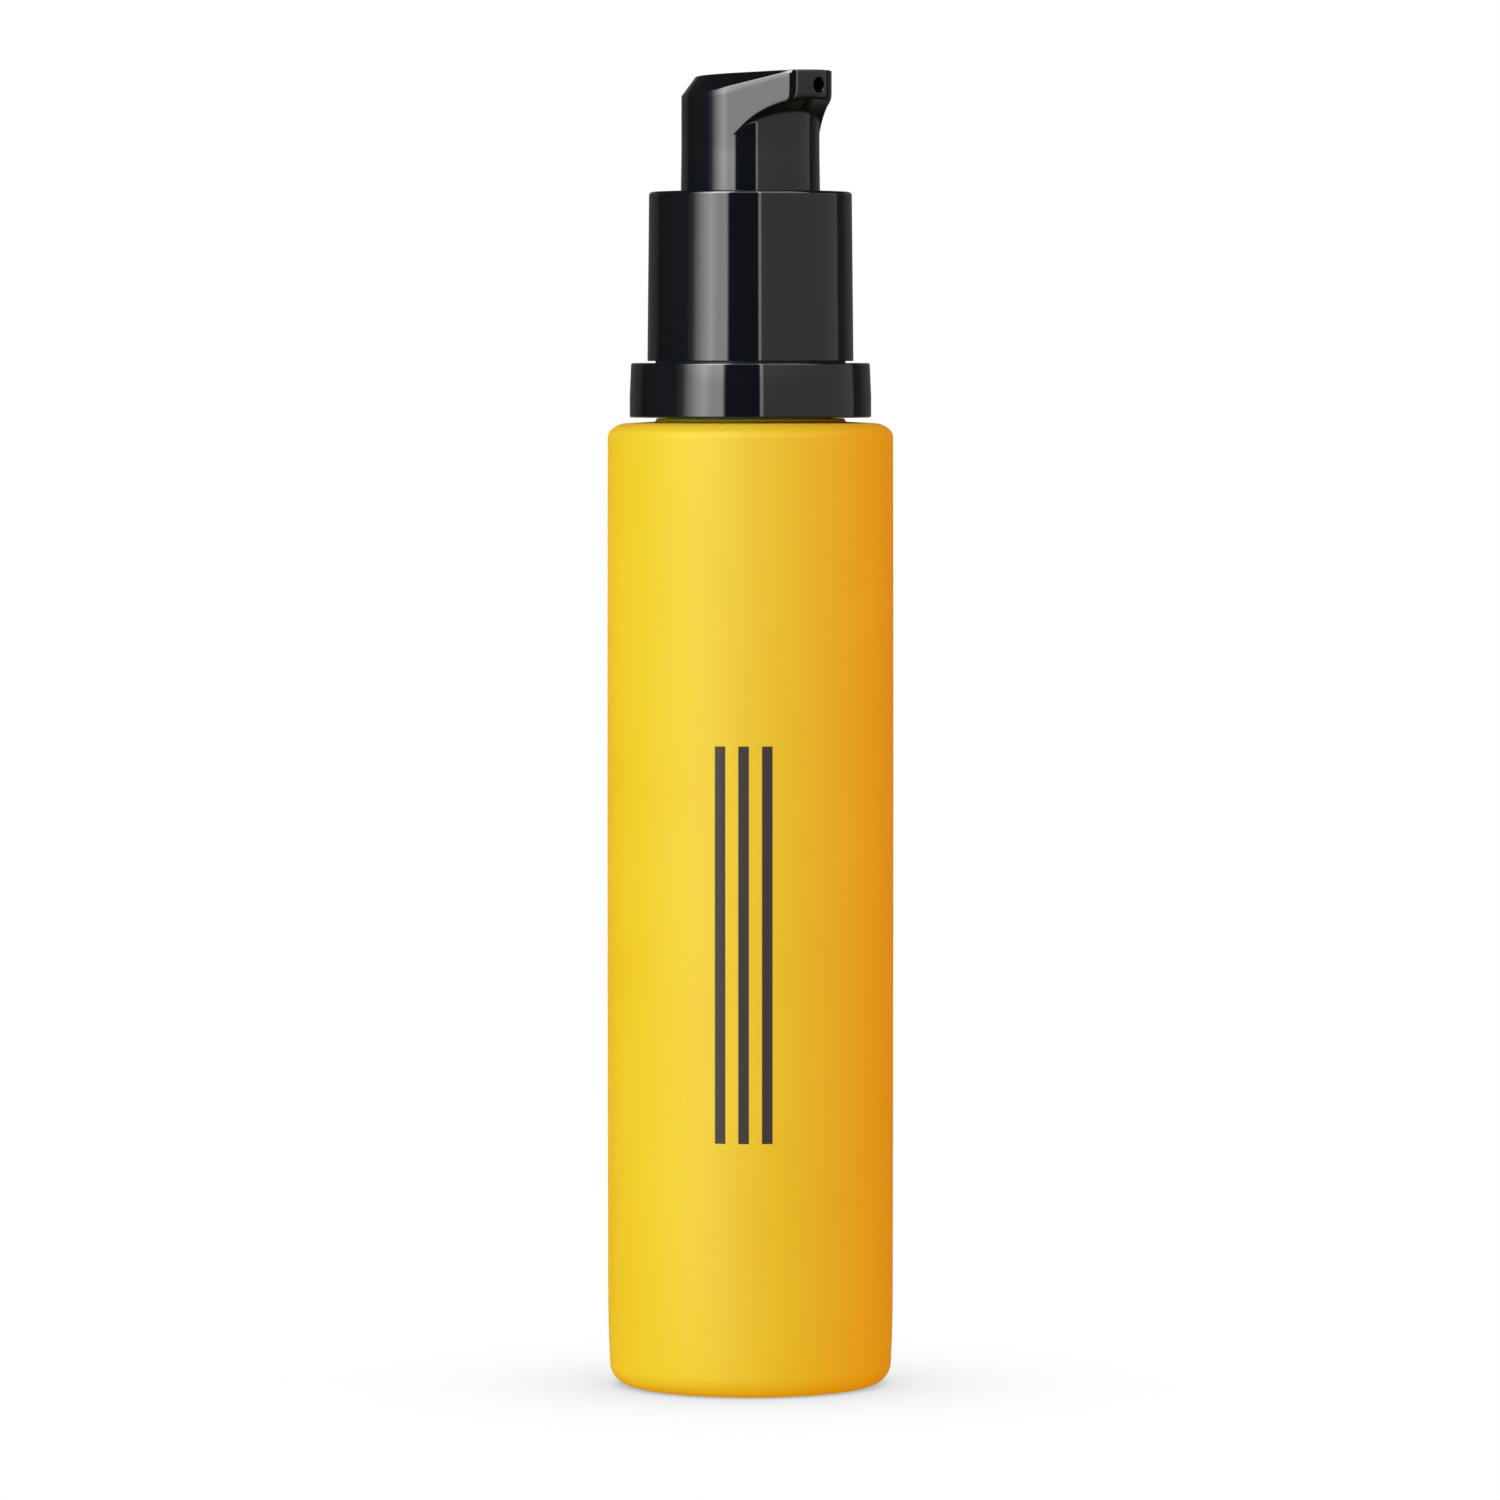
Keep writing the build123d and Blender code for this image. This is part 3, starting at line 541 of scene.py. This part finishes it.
BUTTON_R, BUTTON_R_LOW = 7.22, 7.40
BUTTON_STRAIGHT_Z = 129.0
FLANK_ANGLE = math.radians(60)      # azimuth, from the beak, at which the flanks leave the barrel
NOSE_R, NOSE_CENTRE = 4.0, 6.65
CORNER_R = 2.0
ARCH_R, ARCH_CENTRE, ARCH_CENTRE_Z = 11.6, 12.63, 123.1
TOP_TILT = math.tan(math.radians(2.1))
BEVEL_ANGLE, BEVEL_START_Z = math.radians(72), 135.5      # where the bevel starts to rise along the flank
BEVEL_LEAN, BEVEL_SLOPE = math.tan(math.radians(4)), 1.83 / 1.34
BEVEL_END_DROP = 0.2                # how far below the top the bevel ends at the beak
EDGE_R, LIP_R, LIP_BLEND, ROOT_R = 0.16, 0.8, 3.0, 0.7
CAVITY_R, CAVITY_Z = 6.2, 133.0
SOCKET_OUTER_R, SOCKET_LOW_Z, SOCKET_LEAD = 3.0, 118.3, 0.3
STEM_R, STEM_TOP_Z, RISER_R = 1.8, 130.4, 0.9
OUTLET_R, OUTLET_Z, OUTLET_EDGE = 0.73, 135.95, 0.06
BUTTON_RIBS, BUTTON_RIB_WIDTH, BUTTON_RIB_LOW_Z = 4, 0.8, 123.0
BEAK_REACH = NOSE_CENTRE + NOSE_R

# Numbers of points: round the outline seen from above, then down a section, then round the outlet's bore.
TIP_POINTS, CORNER_POINTS, FLANK_STEPS, BARREL_POINTS = 17, 7, 24, 73
EDGE_POINTS, LIP_POINTS, ARCH_POINTS, ROOT_POINTS = 5, 11, 10, 7
OUTLET_STEPS = 48
WALL_STOPS = (0.15, 0.3, 0.45)      # where a section's wall has points, as shares of the way down it
ARCH_SHARE = 0.8                    # share of the underside that sets the slopes at its lip and its root
ROOM_SHARE = 0.45                   # share of a side that the rounding at one of its ends may take

button_low_z, button_top_z = heights("actuator")
corner_offset = math.acos((BUTTON_R - NOSE_CENTRE * math.cos(FLANK_ANGLE) - CORNER_R) / (NOSE_R - CORNER_R))
corner_start = FLANK_ANGLE - corner_offset
corner_along = NOSE_CENTRE + (NOSE_R - CORNER_R) * math.cos(corner_start)
corner_across = (NOSE_R - CORNER_R) * math.sin(corner_start)
flank_length = corner_along * math.sin(FLANK_ANGLE) - corner_across * math.cos(FLANK_ANGLE)


def round_stretch(along, across, radius, start, end, count):
    """Points of an arc of the outline seen from above, as (along the beak, across it)."""
    angles = np.linspace(start, end, count)
    return [(along + radius * math.cos(a), across + radius * math.sin(a)) for a in angles]


def half_outline():
    """Half of the actuator's outline seen from above, from the beak's tip to the rear."""
    tip = round_stretch(NOSE_CENTRE, 0, NOSE_R, 0, corner_start, TIP_POINTS)
    corner = round_stretch(corner_along, corner_across, CORNER_R, corner_start, FLANK_ANGLE, CORNER_POINTS)
    barrel = round_stretch(0, 0, BUTTON_R, FLANK_ANGLE, math.pi, BARREL_POINTS)
    shares = [i / FLANK_STEPS for i in range(1, FLANK_STEPS)]
    flank = [tuple(Vector(corner[-1]).lerp(Vector(barrel[0]), share)) for share in shares]
    return tip + corner[1:] + flank + barrel


def top_height(azimuth, r):
    """Height of the tilted top."""
    return button_top_z - (BEAK_REACH - r * math.cos(azimuth)) * TOP_TILT


flank_end_azimuth = FLANK_ANGLE - math.atan2(flank_length, BUTTON_R)
flank_end_r = math.hypot(flank_length, BUTTON_R)
flank_end_z = top_height(flank_end_azimuth, flank_end_r)
flank_end = flank_end_r * math.cos(flank_end_azimuth)
bevel_start = BUTTON_R * math.cos(BEVEL_ANGLE)
flank_rise = (flank_end_z - BEVEL_END_DROP - BEVEL_START_Z) / (flank_end - bevel_start)


def bevel_height(azimuth, r):
    """Height of the bevel, which leans back round the rear and rises along each flank towards the top."""
    turn = max(0.0, FLANK_ANGLE - azimuth)
    along = BUTTON_R * math.cos(max(azimuth, FLANK_ANGLE)) + r * math.sin(turn) * math.sin(FLANK_ANGLE)
    rise = (along - bevel_start) * (flank_rise if along > bevel_start else BEVEL_LEAN)
    return BEVEL_START_Z + rise + (BUTTON_R - r * math.cos(turn)) * BEVEL_SLOPE


def arch_point(azimuth, r):
    """Point (r, z) of the beak's concave underside, and its slope in that section."""
    along = math.cos(min(azimuth, FLANK_ANGLE))
    rise = math.sqrt(ARCH_R**2 - (ARCH_CENTRE - r * along) ** 2)
    return (r, ARCH_CENTRE_Z + rise), (ARCH_CENTRE - r * along) / rise * along


def eased(side, reach):
    """The side shortened to a reach, or to less than half of its own length where it is short."""
    room = ROOM_SHARE * side.length
    return side.normalized() * room * (1 - math.exp(-reach / room))


def turned(before, here, after, radius, count, blend=1.0):
    """Rounds a corner with a fixed number of points, starting blend times farther from it than they end."""
    here = Vector(here)
    back, ahead = Vector(before) - here, Vector(after) - here
    if min(back.length, ahead.length) < 2 * MERGE:
        return [tuple(here)] * count
    reach = radius / math.tan(back.angle(ahead) / 2)
    back, ahead = eased(back, blend * reach), eased(ahead, reach)
    steps = [i / (count - 1) for i in range(count)]
    return [tuple(here + back * (1 - t) ** 2 + ahead * t**2) for t in steps]


def actuator_section(azimuth, r_out):
    """Points (r, z) of the section at an azimuth; all sections have the same number of points."""
    fall = bevel_height(azimuth, r_out) - top_height(azimuth, r_out)
    inward_gain = bevel_height(azimuth, r_out - 1) - top_height(azimuth, r_out - 1) - fall
    r_bevel = r_out + min(0.0, fall / inward_gain)
    bevel_top = (r_bevel, top_height(azimuth, r_bevel))
    bevel_low = (r_out, min(bevel_height(azimuth, r_out), bevel_top[1] - 2 * EDGE_R))
    lip, lip_slope = arch_point(azimuth, r_out)
    root, root_slope = arch_point(azimuth, BUTTON_R)
    reach = ARCH_SHARE * (r_out - BUTTON_R)
    lip_inside = (r_out - reach, lip[1] - reach * lip_slope)
    root_outside = (BUTTON_R + reach, root[1] + reach * root_slope)
    straight, foot = (BUTTON_R, BUTTON_STRAIGHT_Z), (BUTTON_R_LOW, button_low_z)
    cavity_foot = (CAVITY_R, button_low_z)

    top = [(r, top_height(azimuth, r)) for r in (0, r_bevel / 2)]
    edge = turned(top[1], bevel_top, bevel_low, EDGE_R, EDGE_POINTS)
    edge += turned(bevel_top, bevel_low, lip, EDGE_R, EDGE_POINTS)
    wall = [tuple(Vector(bevel_low).lerp(Vector(lip), share)) for share in WALL_STOPS]
    lip_turn = turned(bevel_low, lip, lip_inside, LIP_R, LIP_POINTS, LIP_BLEND)
    root_turn = turned(root_outside, root, straight, ROOT_R, ROOT_POINTS)
    arch_r = np.linspace(lip_turn[-1][0], root_turn[0][0], ARCH_POINTS)[1:-1]
    arch = [arch_point(azimuth, r)[0] for r in arch_r]
    skirt = [straight] + turned(straight, foot, cavity_foot, EDGE_R, EDGE_POINTS)
    inside = [
        cavity_foot,
        (CAVITY_R, CAVITY_Z),
        (SOCKET_OUTER_R, CAVITY_Z),
        (SOCKET_OUTER_R, SOCKET_LOW_Z),
        (STEM_R + SOCKET_LEAD, SOCKET_LOW_Z),
        (STEM_R, SOCKET_LOW_Z + 2 * SOCKET_LEAD),
        (STEM_R, STEM_TOP_Z),
        (RISER_R, STEM_TOP_Z),
        (RISER_R, OUTLET_Z),
        (0, OUTLET_Z),
    ]
    return top + edge + wall + lip_turn + arch + root_turn + skirt + inside


def outlet_bore():
    """Solid that cuts the outlet along the beak's direction, flared where it leaves the beak."""
    mouth_y, flare = BEAK_REACH - 2 * OUTLET_EDGE, 4 * OUTLET_EDGE
    outline = [(0, 0), (OUTLET_R, 0), (OUTLET_R, mouth_y), (OUTLET_R + flare, mouth_y + flare)]
    outline.append((0, mouth_y + flare))
    count = len(outline)
    points, faces = [], []
    for i in range(OUTLET_STEPS):
        a, after = 2 * math.pi * i / OUTLET_STEPS, (i + 1) % OUTLET_STEPS
        points += [(r * math.cos(a), -y, OUTLET_Z + r * math.sin(a)) for r, y in outline]
        for j in range(count - 1):
            faces.append((i * count + j, i * count + j + 1, after * count + j + 1, after * count + j))
    return add_piece("outlet", points, faces)


def make_actuator():
    half = half_outline()
    outline = half + [(along, -across) for along, across in half[-2:0:-1]]
    sections = [actuator_section(abs(math.atan2(v, u)), math.hypot(u, v)) for u, v in outline]
    count = len(sections[0])
    points, faces = [], []
    for i, ((u, v), section) in enumerate(zip(outline, sections)):
        azimuth, after = math.atan2(v, u), (i + 1) % len(outline)
        points += [(r * math.sin(azimuth), -r * math.cos(azimuth), z) for r, z in section]
        for j in range(count - 1):
            faces.append((i * count + j, i * count + j + 1, after * count + j + 1, after * count + j))
    actuator = add_piece("beaked_actuator", points, faces, "head", "gloss_black", ["actuator"])
    rib_height = CAVITY_Z + OVERLAP - BUTTON_RIB_LOW_Z
    rib_centre = ((SOCKET_OUTER_R + CAVITY_R) / 2, 0, BUTTON_RIB_LOW_Z + rib_height / 2)
    rib_size = (CAVITY_R - SOCKET_OUTER_R + 2 * OVERLAP, BUTTON_RIB_WIDTH, rib_height)
    ribs = [block(rib_centre, rib_size, 360 * (i + 0.5) / BUTTON_RIBS) for i in range(BUTTON_RIBS)]
    combine(actuator, ribs, "UNION")
    combine(actuator, [outlet_bore()], "DIFFERENCE")
    smooth(actuator)


make_actuator()

# ---------------------------------------------------------------------------
# Return spring, built at one fixed length; on the real pump it shortens as the actuator is pressed
# ---------------------------------------------------------------------------

WIRE_R, COIL_R, COIL_TURNS = 0.275, 2.4, 5
TURN_STEPS = 48
WIRE_STEPS = 16


def make_spring():
    low, high = heights("return_spring")
    base_z, rise = low + WIRE_R, high - low - 2 * WIRE_R
    slope = math.atan2(rise / COIL_TURNS, 2 * math.pi * COIL_R)
    points, faces = [], []
    for i in range(COIL_TURNS * TURN_STEPS + 1):
        a = 2 * math.pi * i / TURN_STEPS
        out = Vector((math.cos(a), math.sin(a), 0))
        along = Vector((-math.sin(a) * math.cos(slope), math.cos(a) * math.cos(slope), math.sin(slope)))
        centre = out * COIL_R + Vector((0, 0, base_z + rise * i / (COIL_TURNS * TURN_STEPS)))
        side = along.cross(out)
        for k in range(WIRE_STEPS):
            q = 2 * math.pi * k / WIRE_STEPS
            points.append(tuple(centre + out * WIRE_R * math.cos(q) + side * WIRE_R * math.sin(q)))
            if i:
                here, before, k_next = i * WIRE_STEPS, (i - 1) * WIRE_STEPS, (k + 1) % WIRE_STEPS
                faces.append((before + k, before + k_next, here + k_next, here + k))
    faces.append(tuple(range(WIRE_STEPS)))
    faces.append(tuple(range(len(points) - WIRE_STEPS, len(points))))
    spring = add_piece("coil_spring", points, faces, "root", "spring_steel", ["return_spring"])
    ends = []
    for z in (base_z, base_z + rise):
        section = arc((COIL_R, z), WIRE_R, 0, 360, step=360 / WIRE_STEPS)[:-1]
        ends.append(lathe("end_coil", section, steps=TURN_STEPS * 2))
    combine(spring, ends, "UNION")
    smooth(spring, sharp_angle=60)
    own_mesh(spring)


make_spring()

# ---------------------------------------------------------------------------
# Printed mark: three plain bars where the real bottle carries its printing
# ---------------------------------------------------------------------------

MARK_LOW_Z, MARK_HIGH_Z = 26.6, 67.7
MARK_WIDTH, MARK_BARS, BAR_WIDTH = 6.0, 3, 1.1
MARK_TURN = CAMERA_TURN - 2.7
INK_PROUD, INK_DEPTH = 0.012, 0.05
BAR_COLUMNS, BAR_ROWS = 8, 24


def make_bar(name, azimuth):
    """Thin curved plate of ink that follows the body's surface."""
    width = BAR_WIDTH / BODY_R
    across = [math.radians(azimuth) + width * (i / BAR_COLUMNS - 0.5) for i in range(BAR_COLUMNS + 1)]
    levels = [MARK_LOW_Z + (MARK_HIGH_Z - MARK_LOW_Z) * i / BAR_ROWS for i in range(BAR_ROWS + 1)]
    points, faces = [], []
    for offset in (INK_PROUD, -INK_DEPTH):
        for z in levels:
            r = body_radius(z) + offset
            points += [(r * math.sin(a), -r * math.cos(a), z) for a in across]
    wide, side = len(across), len(across) * len(levels)
    for j in range(BAR_ROWS):
        for i in range(BAR_COLUMNS):
            k = j * wide + i
            faces.append((k, k + 1, k + wide + 1, k + wide))
            faces.append((side + k, side + k + wide, side + k + wide + 1, side + k + 1))
    rim = list(range(wide)) + [j * wide + wide - 1 for j in range(1, len(levels))]
    rim += [side - 1 - i for i in range(1, wide)] + [j * wide for j in range(len(levels) - 2, 0, -1)]
    for here, after in zip(rim, rim[1:] + rim[:1]):
        faces.append((here, side + here, side + after, after))
    bar = add_piece(name, points, faces, "root", "printed_ink")
    smooth(bar)


for number in range(MARK_BARS):
    shift = (number - (MARK_BARS - 1) / 2) * (MARK_WIDTH - BAR_WIDTH) / (MARK_BARS - 1)
    make_bar(f"printed_bar_{number + 1}", MARK_TURN + math.degrees(shift / BODY_R))

# ---------------------------------------------------------------------------
# Light and stage
# ---------------------------------------------------------------------------

WHITE = (1, 1, 1)
DARK_STUDIO = (0.02, 0.02, 0.02)
# The warm fill and the cool lights keep the body yellow on the lights' side and orange on the other.
AMBIENT = (0.90, 0.59, 0.03)
LIGHT_DISTANCE, LIGHT_WIDTH, LIGHT_HEIGHT, LIGHT_POWER = 1.0, 0.9, 1.2, 8.0
LIGHTS = [
    ("key", -30, 12, (0.0, 1.18, 3.2)),
    ("left_fill", -80, 5, (0.25, 0.44, 0.1)),
]
# The floor glows less where the bottle shuts out the sky above it, within the shade's reach.
FLOOR_REACH, SHADE_REACH, SHADE_SAMPLES = 6.0, 0.05, 16
FLOOR_OPENNESS, FLOOR_GLOW = (0.0, 0.9), (0.45, 1.0)

DOME_R, DOME_CENTRE_Z = 1.2, 0.115
DOME_COLUMNS, DOME_ROWS = 720, 86
DOME_LOWEST, DOME_ROW_STEP = -85, 2
# Brightness of the studio round the bottle as the gloss sees it, by azimuth from the camera's side.
DOME_GLOW = [
    (-180, 0.12), (-132, 0.12), (-124, 0.03), (-76, 0.1), (-68, 0.5), (-60, 3.0), (-52, 5.4),
    (-45, 7.0), (-36, 5.2), (-27, 5.2), (-23.8, 0.05), (8.5, 0.03), (9.5, 3.4), (11.5, 3.4),
    (12.5, 0.72), (108, 0.6), (114, 0.6), (117, 0.1), (126, 0.08), (140, 0.14), (180, 0.12),
]
# How the panels fade below the horizon and brighten a little above it, by elevation.
PANEL_FADE = [(-60, 0.03), (-42, 0.2), (-26, 0.6), (-10, 0.95), (3, 1.0), (5, 1.5)]
CEILING_GLOW, CEILING_GAIN, UNLIT_CEILING = 2.2, 2.4, 0.05
CEILING_REACH, CEILING_LOW, CEILING_HIGH = 75.0, 20.0, 62.0


def make_world():
    """White to the camera, dim in reflections, and a warm soft fill on everything else."""
    world = bpy.data.worlds.new("studio")
    bpy.context.scene.world = world
    world.use_nodes = True
    tree = world.node_tree
    tree.nodes.clear()
    rays = tree.nodes.new("ShaderNodeLightPath")
    surroundings = []
    for colour in (AMBIENT, DARK_STUDIO, WHITE):
        background = tree.nodes.new("ShaderNodeBackground")
        background.inputs["Color"].default_value = (*colour, 1)
        surroundings.append(background.outputs["Background"])
    mixed = surroundings[0]
    for ray, background in (("Is Glossy Ray", surroundings[1]), ("Is Camera Ray", surroundings[2])):
        mix = tree.nodes.new("ShaderNodeMixShader")
        tree.links.new(rays.outputs[ray], mix.inputs["Fac"])
        tree.links.new(mixed, mix.inputs[1])
        tree.links.new(background, mix.inputs[2])
        mixed = mix.outputs["Shader"]
    output = tree.nodes.new("ShaderNodeOutputWorld")
    tree.links.new(mixed, output.inputs["Surface"])


def new_glow(name):
    """Material that shines by itself; returns the material, its node tree and its emission shader."""
    material = bpy.data.materials.new(name)
    material.use_nodes = True
    tree = material.node_tree
    glow = tree.nodes.new("ShaderNodeEmission")
    tree.links.new(glow.outputs["Emission"], tree.nodes["Material Output"].inputs["Surface"])
    return material, tree, glow


def add_stage(name, points, faces, material):
    """Mesh of the studio, from points in metres, which sends no light to matt surfaces."""
    mesh = bpy.data.meshes.new(name)
    mesh.from_pydata(points, [], faces)
    mesh.materials.append(material)
    stage = bpy.data.objects.new(name, mesh)
    bpy.context.scene.collection.objects.link(stage)
    stage.visible_diffuse = False
    return stage


def make_floor():
    """Pale floor that shades softly under the bottle and melts into the white background."""
    material, tree, glow = new_glow("pale_floor")
    near = tree.nodes.new("ShaderNodeAmbientOcclusion")
    near.samples = SHADE_SAMPLES
    near.inputs["Distance"].default_value = SHADE_REACH
    strength = spread(tree, near.outputs["AO"], FLOOR_GLOW, source=FLOOR_OPENNESS)
    tree.links.new(strength, glow.inputs["Strength"])
    corners = [(x * FLOOR_REACH, y * FLOOR_REACH, 0) for x, y in ((-1, -1), (1, -1), (1, 1), (-1, 1))]
    floor = add_stage("floor", corners, [(0, 1, 2, 3)], material)
    floor.visible_glossy = False


def dome_glow(azimuth, elevation):
    """Upright panels that fade towards the table, and a ceiling panel over the camera's side."""
    level = np.interp(azimuth, *zip(*DOME_GLOW))
    if elevation > CEILING_LOW:
        lit = abs(azimuth) < CEILING_REACH and elevation < CEILING_HIGH
        return CEILING_GLOW + CEILING_GAIN * level if lit else UNLIT_CEILING
    return level * np.interp(elevation, *zip(*PANEL_FADE))


def make_dome():
    """Studio that only reflections see."""
    material, tree, glow = new_glow("panels")
    strength = tree.nodes.new("ShaderNodeAttribute")
    strength.attribute_name = "glow"
    tree.links.new(strength.outputs["Fac"], glow.inputs["Strength"])
    points, faces, levels = [], [], []
    for i in range(DOME_COLUMNS):
        turn, here, after = -180 + 360 * i / DOME_COLUMNS, i * DOME_ROWS, (i + 1) % DOME_COLUMNS * DOME_ROWS
        for j in range(DOME_ROWS):
            elevation = DOME_LOWEST + DOME_ROW_STEP * j
            flat = DOME_R * math.cos(math.radians(elevation))
            z = DOME_CENTRE_Z + DOME_R * math.sin(math.radians(elevation))
            points.append(tuple(around(CAMERA_TURN + turn, flat, z)))
            levels.append(dome_glow(turn, elevation))
            if j:
                faces.append((here + j - 1, here + j, after + j, after + j - 1))
    dome = add_stage("studio_dome", points, faces, material)
    attribute = dome.data.attributes.new("glow", "FLOAT", "POINT")
    attribute.data.foreach_set("value", levels)
    dome.visible_camera = False
    dome.visible_shadow = False


def soft_light(name, azimuth, elevation, colour):
    """Large soft panel that doesn't show in the gloss; its azimuth is from the camera's side."""
    data = bpy.data.lights.new(name, "AREA")
    data.shape = "RECTANGLE"
    data.size = LIGHT_WIDTH
    data.size_y = LIGHT_HEIGHT
    data.energy = LIGHT_POWER
    data.color = colour
    light = bpy.data.objects.new(name, data)
    bpy.context.scene.collection.objects.link(light)
    target = Vector((0, 0, cad_high[2] / 2))
    flat = LIGHT_DISTANCE * math.cos(math.radians(elevation))
    rise = LIGHT_DISTANCE * math.sin(math.radians(elevation))
    light.location = around(CAMERA_TURN + azimuth, flat, target.z + rise)
    light.rotation_euler = (target - light.location).to_track_quat("-Z", "Y").to_euler()
    light.visible_glossy = False
    light.visible_camera = False


make_world()
make_floor()
make_dome()
for light in LIGHTS:
    soft_light(*light)

bpy.context.scene.view_settings.view_transform = "Standard"
